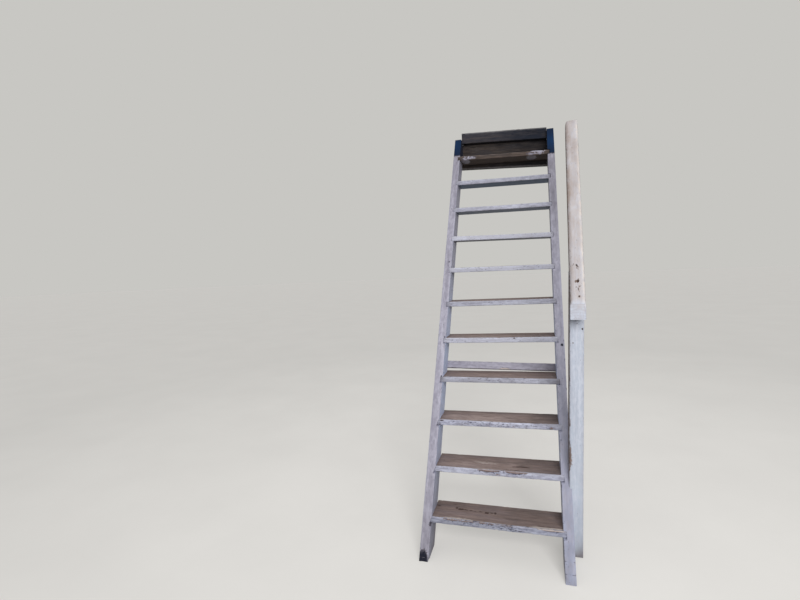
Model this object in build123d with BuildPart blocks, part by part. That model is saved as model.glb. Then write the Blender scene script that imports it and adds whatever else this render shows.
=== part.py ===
"""Steep open-tread loft stair of painted timber, in millimetres.

X runs along the treads, to the right of someone climbing. Y runs the way one climbs, Z is up.
The origin is the centre of the hanger board's back face, by which the stair is held at its head.
Side profiles are drawn in (run, height), measured from the front foot corner of the strings.
"""

import os
from itertools import accumulate
from math import atan, cos, radians, sin, tan

from build123d import *

# Steps. The old treads are not quite level: each fall is how far a right end sits below the left one.
rise = 220.0
going = 135.0
first_rise = 185.0
top_rise = 210.0
tread_falls = (-10.0, -12.0, -12.0, -9.0, -12.0, -10.0, 0.0, 10.0, 8.0, 12.0, 22.0)

# Treads
clear_width = 660.0
tread_depth = 180.0
tread_thickness = 33.0
housing_depth = 16.0
nosing_radius = 5.0
back_arris_radius = 2.0

# Strings
string_thickness = 50.0
string_width = 128.0
string_arris = 2.0
string_head_drop = 39.5

# Hanger board and landing edge, which fall to the right
hanger_thickness = 38.0
hanger_height = 200.0
landing_rise = 212.5
landing_height = 85.0
landing_overhang = 45.0
landing_fall = 35.0
board_arris = 3.0

# Newel post
newel_width = 68.0
newel_depth = 95.0
newel_setback = 220.0
newel_let_in = 19.0
newel_lean = 0.9
newel_arris = 2.5

# Handrail
rail_width = 72.0
rail_depth = 62.0
rail_pitch = 56.8
rail_skew = 3.0
rail_height = 1431.0
rail_inset = 1.0
rail_nose_overhang = 80.0
rail_nose_cut = 78.0
rail_reach = 830.0
rail_top_radius = 16.0
rail_under_radius = 4.0

# Back rail
back_rail_width = 46.0
back_rail_thickness = 18.0
back_rail_gap = 17.0
back_rail_tilt = 0.45
back_rail_arris = 1.5

# What follows from the sizes
slope = rise / going
string_run = string_width / sin(atan(slope))
overall_width = clear_width + 2 * string_thickness
tread_length = clear_width + 2 * housing_depth
tread_rises = [first_rise] + [rise for fall in tread_falls[1:-1]] + [top_rise]
tread_tops = list(accumulate(tread_rises))
fourth_tread_top = tread_tops[3]
landing_top = tread_tops[-1] + landing_rise
hanger_top = landing_top - landing_height
hanger_front = tread_tops[-1] / slope + tread_depth
hanger_back = hanger_front + hanger_thickness
string_head = landing_top - string_head_drop

# Where the strings' foot corner lies from the origin
foot_y = -hanger_back
floor_z = -(hanger_top - hanger_height / 2)
side = Plane(origin=(0, foot_y, floor_z), x_dir=(0, 1, 0), z_dir=(1, 0, 0))
front = Plane(origin=(0, foot_y, floor_z), x_dir=(1, 0, 0), z_dir=(0, -1, 0))


def front_line(height):
    """Run of the strings' front edge at a height over the floor."""
    return height / slope


def string_outline():
    """Side profile of a string: level foot, raked edges, plumb back of the head and level top."""
    head_meets_board = (hanger_front - string_run) * slope
    return [
        (0, 0),
        (string_run, 0),
        (hanger_front, head_meets_board),
        (hanger_front, string_head),
        (front_line(string_head), string_head),
    ]


def tread_plane(top, fall):
    """Front face of a tread. The origin is the middle of its top arris, and X runs down the fall."""
    return Plane(
        origin=(0, foot_y + front_line(top), floor_z + top),
        x_dir=(clear_width, 0, -fall),
        z_dir=(0, -1, 0),
    )


def make_string(outer_x, inner_side):
    """One string, with a housing for each tread cut right across its inner face."""
    inner_x = outer_x + inner_side * string_thickness
    with BuildPart() as board:
        with BuildSketch(side.offset(min(outer_x, inner_x))):
            with BuildLine():
                Polyline(string_outline(), close=True)
            make_face()
        extrude(amount=string_thickness)
        outline_edges = board.edges().filter_by(Axis.X, reverse=True)
        chamfer(outline_edges.filter_by(lambda edge: edge.length > rise), length=string_arris)
        for top, fall in zip(tread_tops, tread_falls):
            with BuildSketch(tread_plane(top, fall).offset(going)):
                Rectangle(tread_length, tread_thickness, align=(Align.CENTER, Align.MAX))
            extrude(amount=-(going + tread_depth), mode=Mode.SUBTRACT)
    return board.part


def make_landing_board(width, top, height, back, depth):
    """Board on edge across the stair's head, with plumb ends, that follows the fall of the landing."""
    half = width / 2
    drop = landing_fall / clear_width * half
    with BuildPart() as board:
        with BuildSketch(front.offset(-back)):
            with BuildLine():
                Polyline(
                    (-half, top + drop),
                    (half, top - drop),
                    (half, top - drop - height),
                    (-half, top + drop - height),
                    close=True,
                )
            make_face()
        extrude(amount=depth)
        fillet(board.faces().sort_by(Axis.Y)[0].edges().sort_by(SortBy.LENGTH)[-2:], radius=board_arris)
    return board.part


os.makedirs("parts", exist_ok=True)

# Strings, a left and a right one
left_string = make_string(-overall_width / 2, 1)
left_string.label = "left_string"
export_step(left_string, "parts/left_string.step")

right_string = make_string(overall_width / 2, -1)
right_string.label = "right_string"
export_step(right_string, "parts/right_string.step")

# Treads
for number, (top, fall) in enumerate(zip(tread_tops, tread_falls), start=1):
    with BuildPart() as tread:
        with BuildSketch(tread_plane(top, fall)):
            Rectangle(tread_length, tread_thickness, align=(Align.CENTER, Align.MAX))
        extrude(amount=-tread_depth)
        fillet(tread.faces().sort_by(Axis.Y)[0].edges().sort_by(SortBy.LENGTH)[-2:], radius=nosing_radius)
        fillet(tread.faces().sort_by(Axis.Y)[-1].edges().sort_by(SortBy.LENGTH)[-2:], radius=back_arris_radius)
    tread.part.label = f"tread_{number:02d}"
    export_step(tread.part, f"parts/tread_{number:02d}.step")

# Hanger board, which the heads of the strings and the top tread land on
hanger_board = make_landing_board(overall_width, hanger_top, hanger_height, hanger_back, hanger_thickness)
hanger_board.label = "hanger_board"
export_step(hanger_board, "parts/hanger_board.step")

# Landing nosing, on the hanger board and between the heads of the strings
landing_depth = landing_overhang + hanger_thickness
landing_nosing = make_landing_board(clear_width, landing_top, landing_height, hanger_back, landing_depth)
landing_nosing.label = "landing_nosing"
export_step(landing_nosing, "parts/landing_nosing.step")

# Handrail, drawn in its own upright plane, which is turned outwards by the skew
rail_slope = tan(radians(rail_pitch))
rail_thickness_upright = rail_depth / cos(radians(rail_pitch))
rail_inner_x = overall_width / 2 + rail_inset
rail_plane = Plane(
    origin=(rail_inner_x, foot_y + newel_setback, floor_z),
    x_dir=(sin(radians(rail_skew)), cos(radians(rail_skew)), 0),
    z_dir=(cos(radians(rail_skew)), -sin(radians(rail_skew)), 0),
)
under_at_newel = rail_height - rail_thickness_upright
nose_top = rail_height - rail_nose_overhang * rail_slope
nose_bottom = nose_top - rail_nose_cut
nose_heel = (nose_bottom - under_at_newel) / rail_slope
rail_run = (rail_reach - newel_setback) / cos(radians(rail_skew)) + rail_width
with BuildPart() as handrail:
    with BuildSketch(rail_plane):
        with BuildLine():
            Polyline(
                (-rail_nose_overhang, nose_bottom),
                (nose_heel, nose_bottom),
                (rail_run, under_at_newel + rail_run * rail_slope),
                (rail_run, rail_height + rail_run * rail_slope),
                (-rail_nose_overhang, nose_top),
                close=True,
            )
        make_face()
    extrude(amount=rail_width)
    rail_edges = handrail.edges().sort_by(SortBy.LENGTH)[-4:].sort_by(Axis.Z)
    fillet(rail_edges[2:], radius=rail_top_radius)
    rail_edges = handrail.edges().filter_by(lambda edge: edge.length > rail_reach).sort_by(Axis.Z)
    fillet(rail_edges[:2], radius=rail_under_radius)
    split(bisect_by=Plane(origin=(0, foot_y + rail_reach, 0), z_dir=(0, 1, 0)), keep=Keep.BOTTOM)
handrail.part.label = "handrail"
export_step(handrail.part, "parts/handrail.step")

# Newel post, leaning slightly outwards, let in over the string and cut to the rake of the rail
newel_inner_x = overall_width / 2 - newel_let_in
newel_blank = rail_height + newel_depth * rail_slope
newel_shift = newel_blank * tan(radians(newel_lean))
with BuildPart() as newel_post:
    with BuildSketch(front.offset(-newel_setback)):
        with BuildLine():
            Polyline(
                (newel_inner_x, 0),
                (newel_inner_x + newel_width, 0),
                (newel_inner_x + newel_width + newel_shift, newel_blank),
                (newel_inner_x + newel_shift, newel_blank),
                close=True,
            )
        make_face()
    extrude(amount=-newel_depth)
    chamfer(newel_post.edges().filter_by(lambda edge: edge.length > rail_height), length=newel_arris)
    with BuildSketch(side.offset(overall_width / 2 - string_thickness)):
        with BuildLine():
            Polyline(string_outline(), close=True)
        make_face()
    extrude(amount=string_thickness, mode=Mode.SUBTRACT)
    under_rail = Plane(
        origin=rail_plane.from_local_coords((0, under_at_newel, 0)),
        x_dir=rail_plane.z_dir,
        z_dir=rail_plane.x_dir * -rail_slope + Vector(0, 0, 1),
    )
    split(bisect_by=under_rail, keep=Keep.BOTTOM)
newel_post.part.label = "newel_post"
export_step(newel_post.part, "parts/newel_post.step")

# Back rail, flat on the back edges of the strings and clear over the fourth tread
back_rail_height = fourth_tread_top + back_rail_gap
back_plane = Plane(
    origin=(0, foot_y + string_run + front_line(back_rail_height), floor_z + back_rail_height),
    x_dir=(cos(radians(back_rail_tilt)), 0, -sin(radians(back_rail_tilt))),
    z_dir=(0, slope, -1),
)
with BuildPart() as back_rail:
    with BuildSketch(back_plane):
        Rectangle(overall_width, back_rail_width, align=(Align.CENTER, Align.MAX))
    extrude(amount=back_rail_thickness)
    chamfer(back_rail.edges().filter_by(lambda edge: edge.length > clear_width), length=back_rail_arris)
back_rail.part.label = "back_rail"
export_step(back_rail.part, "parts/back_rail.step")
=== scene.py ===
import random
from itertools import accumulate
from math import atan, cos, exp, pi, radians, sin, sqrt, tan

import bmesh
import bpy
from mathutils import Matrix, Vector, noise


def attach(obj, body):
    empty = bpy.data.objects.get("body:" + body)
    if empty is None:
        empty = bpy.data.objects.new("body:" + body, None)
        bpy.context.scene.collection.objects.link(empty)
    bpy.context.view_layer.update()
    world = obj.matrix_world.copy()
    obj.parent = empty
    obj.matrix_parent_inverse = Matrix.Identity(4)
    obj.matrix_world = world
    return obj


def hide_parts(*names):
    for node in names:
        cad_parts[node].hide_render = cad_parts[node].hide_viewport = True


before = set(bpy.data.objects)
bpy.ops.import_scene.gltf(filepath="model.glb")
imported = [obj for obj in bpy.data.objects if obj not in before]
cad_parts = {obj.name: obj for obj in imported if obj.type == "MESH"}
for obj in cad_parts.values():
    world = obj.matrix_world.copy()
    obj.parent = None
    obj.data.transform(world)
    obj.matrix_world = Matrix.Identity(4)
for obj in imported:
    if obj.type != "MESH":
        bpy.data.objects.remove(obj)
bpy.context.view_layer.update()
print("loft stair: frame loaded")

# The stair's main lines, in metres, as the solids have them
stair = {
    "rise": 0.220,
    "going": 0.135,
    "firstRise": 0.185,
    "topRise": 0.210,
    "falls": (-0.010, -0.012, -0.012, -0.009, -0.012, -0.010, 0.0, 0.010, 0.008, 0.012, 0.022),
    "clearWidth": 0.660,
    "halfWidth": 0.380,  # out to the strings' outer faces
    "footY": -1.675386,
    "floorZ": -2.4025,
}
slope = stair["rise"] / stair["going"]
rake = atan(slope)
evenRises = [stair["rise"]] * (len(stair["falls"]) - 2)
treadTops = list(accumulate([stair["firstRise"], *evenRises, stair["topRise"]]))
hangerBack = -stair["footY"]  # run from the strings' foot corner to the hanger board's back
footCorner = Vector((0, stair["footY"], stair["floorZ"]))
toRight, toBack, toTop = Vector((1, 0, 0)), Vector((0, 1, 0)), Vector((0, 0, 1))


def atRun(x, run, height):
    # a point by its run from the foot corner and its height over the floor
    return footCorner + Vector((x, run, height))


def boardMatrix(origin, xAxis, yAxis):
    # a board's own axes: X along the grain, Y across, Z through it
    xAxis = xAxis.normalized()
    zAxis = xAxis.cross(yAxis).normalized()
    yAxis = zAxis.cross(xAxis)
    turn = Matrix((xAxis, yAxis, zAxis)).transposed()
    return Matrix.Translation(origin) @ turn.to_4x4()


def tilted(angle):
    # the ways along and up for a board that falls to the right by this angle
    return Vector((cos(angle), 0, -sin(angle))), Vector((sin(angle), 0, cos(angle)))


# Boards: a sawn blank, cut ends, then wear that only ever takes wood away
ageing = {
    "endLoops": (0.007, 0.003, 0.0012),  # how far the loops lie from a sawn end
    "endWeld": 0.0004,
    "endInset": 0.0009,
    "waveReach": 0.008,  # how deep the waves and dents of a face are felt
    "crackReach": 0.004,
    "splitWander": 0.0016,
    "sharpFrom": radians(38),
}


def sawThrough(bm, point, normal, cutOff=False):
    geometry = bm.verts[:] + bm.edges[:] + bm.faces[:]
    return bmesh.ops.bisect_plane(
        bm, geom=geometry, dist=1e-7, plane_co=point, plane_no=normal, clear_outer=cutOff
    )


def loopPlaces(size, board):
    # fine loops by the arrises, then even ones between them
    near = board["arrisLoops"]
    span = size - 2 * near[-1]
    gaps = max(1, round(span / board["across"]))
    middle = [near[-1] + span * i / gaps for i in range(gaps + 1)]
    return list(near[:-1]) + middle + [size - place for place in near[:-1]]


def sawBlank(board):
    start, end = board["ends"]
    width, thickness = board["width"], board["thickness"]
    bm = bmesh.new()
    bmesh.ops.create_cube(bm, size=1)
    bmesh.ops.scale(bm, vec=(end - start, width, thickness), verts=bm.verts)
    bmesh.ops.translate(bm, vec=((start + end) / 2, width / 2, thickness / 2), verts=bm.verts)
    for place in loopPlaces(width, board):
        sawThrough(bm, (0, place, 0), (0, 1, 0))
    for split in board.get("splits", ()):
        for side in (-1, 0, 1):
            sawThrough(bm, (0, split["across"] + side * split["lip"], 0), (0, 1, 0))
    for place in loopPlaces(thickness, board):
        sawThrough(bm, (0, 0, place), (0, 0, 1))
    longEdges = [edge for edge in bm.edges if edge.calc_length() > (end - start) / 2]
    bmesh.ops.subdivide_edges(
        bm, edges=longEdges, cuts=round((end - start) / board["along"]) - 1, use_grid_fill=True
    )
    for place, lip in board.get("crossCracks", ()):
        for side in (-1, 0, 1):
            sawThrough(bm, (place + side * lip, 0, 0), (1, 0, 0))
    return bm


def cutEnd(bm, point, outward):
    # one sawn end, with loops beside it for its worn edge
    for depth in ageing["endLoops"]:
        sawThrough(bm, point - outward * depth, outward)
    cut = sawThrough(bm, point, outward, cutOff=True)
    corners = [item for item in cut["geom_cut"] if isinstance(item, bmesh.types.BMVert)]
    bmesh.ops.remove_doubles(bm, verts=corners, dist=ageing["endWeld"])
    rim = [edge for edge in bm.edges if edge.is_boundary]
    filled = bmesh.ops.holes_fill(bm, edges=rim, sides=0)["faces"]
    bmesh.ops.inset_region(bm, faces=filled, thickness=ageing["endInset"])


def fade(distance, reach):
    # 1 at no distance, down to 0 at the reach
    return max(0, 1 - distance / reach)


def within(value):
    # held between 0 and 1
    return max(0, min(1, value))


def bell(value, middle, width):
    # 1 at the middle, falling off to both sides
    return exp(-((value - middle) / width) ** 2)


def roundOver(nearA, nearB, inA, inB, radius):
    # how far a point by two faces moves in where their arris is worn to this radius
    if nearA > nearB:
        nearA, nearB, inA, inB = nearB, nearA, inB, inA
    if nearB >= radius:
        return Vector()
    reach = radius - nearA
    turn = radians(45 + 45 * (nearB - nearA) / reach)
    return inA * (reach * (1 - sin(turn))) + inB * (radius - nearB - reach * cos(turn))


def ovals(*rows):
    # marks from rows in millimetres: their centre, then half their size, then how strong they are
    return [(tuple(v / 1000 for v in row[:3]), tuple(v / 1000 for v in row[3:6]), row[6]) for row in rows]


def inMark(point, board, kind):
    # the strongest of a board's marks of one kind that hold the point, each fading out to its rim
    most = 0
    for centre, half, amount in board.get(kind, ()):
        reach = 1
        for i in range(3):
            reach -= ((point[i] - centre[i]) / half[i]) ** 2
        if reach > 0:
            most = max(most, amount * min(1, 1.5 * reach))
    return most


def scatterChips(board, rng):
    # small breaks along the four long arrises
    start, end = board["ends"]
    chips = []
    for arris in range(4):
        for i in range(round(board["chipsPerMetre"][arris] * (end - start))):
            half = rng.uniform(0.004, 0.016)
            chips.append((arris, rng.uniform(start, end), half, rng.uniform(0.25, 1) * board["chipDepth"]))
    return chips + list(board.get("chips", ()))


def arrisRadius(board, arris, along, chips):
    base = board["arris"][arris]
    place = Vector((along, arris * 3.1 + board["seed"], 0.5))
    ragged = 0.45 * noise.noise(place * 13) + 0.3 * noise.noise(place * 71)
    radius = base * max(0.25, 1 + board["ragged"] * ragged)
    for chip, centre, half, depth in chips:
        if chip == arris and abs(along - centre) < half:
            radius += depth * sqrt(1 - ((along - centre) / half) ** 2)
    return min(radius, board["width"] / 2.2, board["thickness"] / 2.2)


def faceDistances(point, board):
    # distance in from each long face, with its inward direction
    return (
        (point.y, toBack),
        (board["width"] - point.y, -toBack),
        (point.z, toTop),
        (board["thickness"] - point.z, -toTop),
    )


arrisPairs = ((0, 2), (0, 3), (1, 2), (1, 3))  # front low, front high, back low, back high


def wearBlank(bm, board):
    chips = scatterChips(board, random.Random(board["seed"]))
    radii = {}
    for vert in bm.verts:
        point = vert.co.copy()
        faces = faceDistances(point, board)
        column = round(point.x, 4)
        if column not in radii:
            radii[column] = [arrisRadius(board, i, column, chips) for i in range(4)]
        move = Vector()
        for i, (a, b) in enumerate(arrisPairs):
            move += roundOver(faces[a][0], faces[b][0], faces[a][1], faces[b][1], radii[column][i])
        for cut, outward in board["cuts"]:
            gap = (cut - point).dot(outward)
            if gap < board["endWear"]:
                for distance, inward in faces:
                    move += roundOver(gap, distance, -outward, inward, board["endWear"])
        place = Vector((point.x * 5, point.y * 22, point.z * 22 + board["seed"] * 7.3))
        wave = board["waves"] * (0.5 + 0.5 * noise.noise(place))
        dent = inMark(point, board, "dents")
        for distance, inward in faces:
            move += inward * fade(distance, ageing["waveReach"]) * (wave + dent)
        hollow = board.get("hollow")
        if hollow:
            foot = bell(point.x, hollow["centre"], hollow["spread"])
            foot *= bell(point.y, hollow["back"], hollow["depthSpread"])
            move.z -= hollow["deep"] * foot * point.z / board["thickness"]
        for split in board.get("splits", ()):
            off = abs(point.y - split["across"])
            if off < split["lip"] * 1.2 and point.z > board["thickness"] * 0.9:
                middle = (split["from"] + split["to"]) / 2
                half = (split["to"] - split["from"]) / 2
                reach = 1 - ((point.x - middle) / half) ** 2
                wander = noise.noise(Vector((point.x * 40, split["across"] * 90, board["seed"])))
                move.y += ageing["splitWander"] * wander
                if reach > 0 and off < split["lip"] * 0.5:
                    move.z -= split["deep"] * sqrt(reach)
        for crack, lip in board.get("crossCracks", ()):
            if abs(point.x - crack) < lip * 0.5 and board["cracked"](point):
                for distance, inward in faces:
                    move += inward * fade(distance, ageing["crackReach"]) * board["crackDeep"]
        point += move
        for cut, outward in board["cuts"]:
            point -= outward * max(0, (point - cut).dot(outward))
        vert.co = point


def finishMesh(name, bm, place):
    bmesh.ops.transform(bm, matrix=place, verts=bm.verts)
    bmesh.ops.recalc_face_normals(bm, faces=bm.faces)
    mesh = bpy.data.meshes.new(name)
    bm.to_mesh(mesh)
    bm.free()
    piece = bpy.data.objects.new(name, mesh)
    bpy.context.scene.collection.objects.link(piece)
    return piece


def boxCutter(name, corner, size, place, lean=0):
    # a block whose left end leans in by this much from its bottom to its top
    bm = bmesh.new()
    bmesh.ops.create_cube(bm, size=1)
    for vert in bm.verts:
        if vert.co.x < 0 < vert.co.z:
            vert.co.x += lean / size[0]
    bmesh.ops.scale(bm, vec=size, verts=bm.verts)
    bmesh.ops.translate(bm, vec=Vector(corner) + Vector(size) / 2, verts=bm.verts)
    return finishMesh(name, bm, place)


def cutAway(piece, cutters):
    # takes the cutters out of the piece and deletes them
    for cutter in cutters:
        modifier = piece.modifiers.new("cut", "BOOLEAN")
        modifier.operation = "DIFFERENCE"
        modifier.solver = "MANIFOLD"
        modifier.object = cutter
    bpy.context.view_layer.update()
    finished = piece.evaluated_get(bpy.context.evaluated_depsgraph_get())
    mesh = bpy.data.meshes.new_from_object(finished)
    piece.modifiers.clear()
    rough = piece.data
    piece.data = mesh
    bpy.data.meshes.remove(rough)
    for cutter in cutters:
        bpy.data.meshes.remove(cutter.data)


def noteSurface(piece, board, place, look):
    # what the materials read: the place on the board, lost paint, dirt with painted shade, scars with painted
    # shade and highlight,
    # and painted light with scuffing: painted blue shade below 0, painted light above it, paler scuffed wood
    # on the treads' tops
    mesh = piece.data
    back = place.inverted()
    names = ("wear", "grimeAndShade", "scarAndPaintedLight", "paintedLightAndScuff")
    mesh.attributes.new("boardPlace", "FLOAT_VECTOR", "POINT")
    for name in names:
        mesh.attributes.new(name, "FLOAT", "POINT")
    places = mesh.attributes["boardPlace"]
    layers = [mesh.attributes[name] for name in names]
    offset = Vector((board["seed"] * 1.7, board["seed"] * 0.31, 0))
    for i, vert in enumerate(mesh.vertices):
        point = back @ vert.co
        places.data[i].vector = point + offset
        for layer, value in zip(layers, look(point)):
            layer.data[i].value = value


def smoothBySharpness(piece):
    piece.data.set_sharp_from_angle(angle=ageing["sharpFrom"])
    for polygon in piece.data.polygons:
        polygon.use_smooth = True


def makeBoard(name, board, place, look, cutters=()):
    bm = sawBlank(board)
    for point, outward in board["cuts"]:
        cutEnd(bm, point, outward)
    wearBlank(bm, board)
    piece = finishMesh(name, bm, place)
    if cutters:
        cutAway(piece, cutters)
    noteSurface(piece, board, place, look)
    smoothBySharpness(piece)
    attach(piece, "root")
    return piece


def localCut(place, point, outward):
    # a cut plane given in the stair's frame, turned into the board's own
    back = place.inverted()
    return back @ point, (back.to_3x3() @ outward).normalized()


def squareCuts(place, half):
    # cuts square to the board at both ends, this far from its middle
    return [localCut(place, side * half * toRight, side * toRight) for side in (-1, 1)]


def arrisNear(point, board):
    # 0 on the arrises' crests, growing away from them
    faces = faceDistances(point, board)
    return [faces[a][0] + faces[b][0] for a, b in arrisPairs]


def patch(point, scale, seed):
    # soft patches of noise, from 0 to 1
    along, across, through = scale
    return 0.5 + 0.5 * noise.noise(Vector((point.x * along, point.y * across, point.z * through + seed)))


# Strings
strings = {
    "width": 0.128,
    "thickness": 0.050,
    "ends": (-0.02, 3.08),
    "along": 0.007,
    "across": 0.009,
    "arrisLoops": (0.0012, 0.003, 0.0055, 0.009),
    "arris": (0.0028, 0.0028, 0.0024, 0.0024),
    "ragged": 1.2,
    "chipsPerMetre": (7, 7, 3, 3),
    "chipDepth": 0.0035,
    "waves": 0.0007,
    "endWear": 0.0025,
    "headHeight": 2.548,
    "housingDepth": 0.016,
    "housingLeans": (0.015, 0.015, 0.008) + (0,) * 8,  # the lowest treads' left ends are cut on a slant
    "crackDeep": 0.0010,
}
hangerThickness = 0.038
treadDepth = 0.180
treadThickness = 0.033


def treadMatrix(index):
    top, fall = treadTops[index], stair["falls"][index]
    along = Vector((stair["clearWidth"], 0, -fall)).normalized()
    up = along.cross(toBack)
    return boardMatrix(atRun(0, top / slope, top) - up * treadThickness, along, toBack)


def stringEdge(x):
    # where a string's own Z starts, for the string on the side that x is on
    return stair["halfWidth"] if x > 0 else strings["thickness"] - stair["halfWidth"]


def stringMatrix(side):
    along, across = Vector((0, cos(rake), sin(rake))), Vector((0, sin(rake), -cos(rake)))
    return boardMatrix(atRun(stringEdge(side), 0, 0), along, across)


def makeString(name, side, own):
    board = dict(strings, **own)
    seed, headDarkFrom = board["seed"], board["headDarkFrom"]
    place = stringMatrix(side)
    board["cracked"] = lambda point: point.y < 0.03 and patch(point, (30, 0, 60), seed) > 0.46
    board["cuts"] = [
        localCut(place, atRun(0, 0, 0), -toTop),
        localCut(place, atRun(0, 0, strings["headHeight"]), toTop),
        localCut(place, atRun(0, hangerBack - hangerThickness, 0), toBack),
    ]
    reach = stair["clearWidth"] / 2 + strings["housingDepth"]
    size = (2 * reach, stair["going"] + treadDepth, treadThickness)
    housings = [
        boxCutter("housing", (-reach, -stair["going"], 0), size, treadMatrix(i), lean)
        for i, lean in enumerate(strings["housingLeans"])
    ]
    innerZ = 0 if side < 0 else strings["thickness"]

    def look(point):
        height = (place @ point).z - stair["floorZ"]
        crest = fade(min(arrisNear(point, board)), 0.007)
        worn = 0.02 + 0.42 * crest * patch(point, (22, 40, 40), seed)
        worn += 0.14 * patch(point, (3, 20, 20), seed + 5)
        worn = max(worn, inMark(point, board, "worn"))
        if height > headDarkFrom - 0.012 * patch(point, (30, 60, 60), seed + 9):
            worn = 1
        dirtAndShade = board["footDirt"] * exp(-height / 0.35) + 0.25 * patch(point, (2.5, 12, 12), seed + 2) ** 2
        scarAndPaintedLight = -inMark(point, board, "dark")
        # painted highlight: paler paint along the arrises
        paintedLightAndScuff = 0.30 * crest * patch(point, (16, 40, 40), seed + 7)
        inside = abs(point.z - innerZ) < 0.018 and point.y > 0.004  # the face with the housings
        # on the inner face: darker deeper in and low down as painted shade, paler and bluer about mid-height
        # as painted light
        if inside:
            dirtAndShade += (0.10 + 0.45 * exp(-height / 0.22)) * point.y / strings["width"]
            paintedLightAndScuff = 0.15 + 0.95 * bell(height, 0.85, 0.50)
        # darker towards the head
        dirtAndShade += board["headDarkening"] * bell(height, 2.30, 0.55)
        if side > 0 and not inside:  # the right one is paler and bluer low down, as painted bluish light, and a little darker
            paintedLightAndScuff += 0.45 * exp(-height / 0.6)
            dirtAndShade += 0.22 * exp(-height / 0.8)
        # above the head height: painted blue shade and painted dark shade, strongest down the front edge
        if height > headDarkFrom:
            front = fade(point.y, 0.010)
            middle = bell((height - headDarkFrom) / 0.20, 0.5, 0.32)
            paintedLightAndScuff = -0.16 - front * (0.16 + 0.80 * middle * patch(point, (6, 30, 30), seed + 11))
            scarAndPaintedLight = -0.74 - 0.26 * front
        for crack, lip in board["crossCracks"]:
            if abs(point.x - crack) < lip * 0.9 and board["cracked"](point):
                dirtAndShade, worn, scarAndPaintedLight = 0.62, 0.50, -0.6
        return min(worn, 1), min(dirtAndShade, 1), scarAndPaintedLight, paintedLightAndScuff

    piece = makeBoard(name, board, place, look, housings)
    return piece


def edgeMark(x, height, half, amount):
    # a mark on a string's front edge, by its x and its height over the floor
    return (height / sin(rake), 0, stringEdge(x) - x), half, amount


footKnock = (-0.336, 0.150, (0.014, 0.012, 0.008))
leftString = makeString("leftStringTimber", -1, {
    "seed": 3,
    "headDarkFrom": 2.40,  # the height over the floor from which the head is bare, darkened with painted blue shade
    "footDirt": 0.52,
    "headDarkening": 0.18,
    "crossCracks": ((0.020, 0.0015),),
    "dark": [
        edgeMark(-0.338, 0.845, (0.007, 0.006, 0.006), 1),
        edgeMark(-0.337, 1.065, (0.007, 0.006, 0.006), 1),
        edgeMark(-0.345, 1.550, (0.008, 0.006, 0.006), 0.9),
        edgeMark(*footKnock, 0.5),
        # the dark patch at the foot: partly rotted wood, partly painted shadow under the raised foot
        *ovals((0, 0, 32, 80, 120, 45, 0.92)),
    ],
    # bare wood at the foot patch, under the same painted shadow
    "worn": [edgeMark(*footKnock, 0.6), *ovals((-4, 0, 34, 78, 120, 34, 0.62))],
    "dents": ovals((4, 10, 20, 30, 50, 30, 0.004)),
})
rightString = makeString("rightStringTimber", 1, {
    "seed": 8,
    "headDarkFrom": 2.33,
    "footDirt": 0.40,
    "headDarkening": 0.50,
    "crossCracks": ((0.0106, 0.0020), (0.0423, 0.0026), (0.0962, 0.0026)),
    "dark": [
        edgeMark(0.366, 1.028, (0.013, 0.008, 0.009), 1.4),
        edgeMark(0.348, 1.130, (0.008, 0.006, 0.006), 0.9),
    ],
    "dents": [edgeMark(0.366, 1.028, (0.014, 0.006, 0.009), 0.0025)],
})
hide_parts("left_string")
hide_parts("right_string")
print("loft stair: strings")

# Treads. Marks go by x, the distance back from the front face and the height over the underside.
treads = {
    "width": treadDepth,
    "thickness": treadThickness,
    "ends": (-0.352, 0.352),
    "halfLength": 0.346,
    "along": 0.0045,
    "across": 0.0085,
    "arrisLoops": (0.0012, 0.003, 0.006, 0.010),
    "arris": (0.0045, 0.0058, 0.0025, 0.0025),
    "ragged": 1.3,
    "chipsPerMetre": (9, 20, 3, 3),
    "chipDepth": 0.0040,
    "waves": 0.0006,
    "endWear": 0.0012,
    "topEdge": 0.0095,  # how far the paint's ragged edge reaches back over the top arris
    "hollow": {"centre": 0.01, "spread": 0.20, "back": 0.045, "depthSpread": 0.09, "deep": 0.0022},
    "skin": 0.006,  # how deep the looks of the front, top and underside go
}
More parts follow.
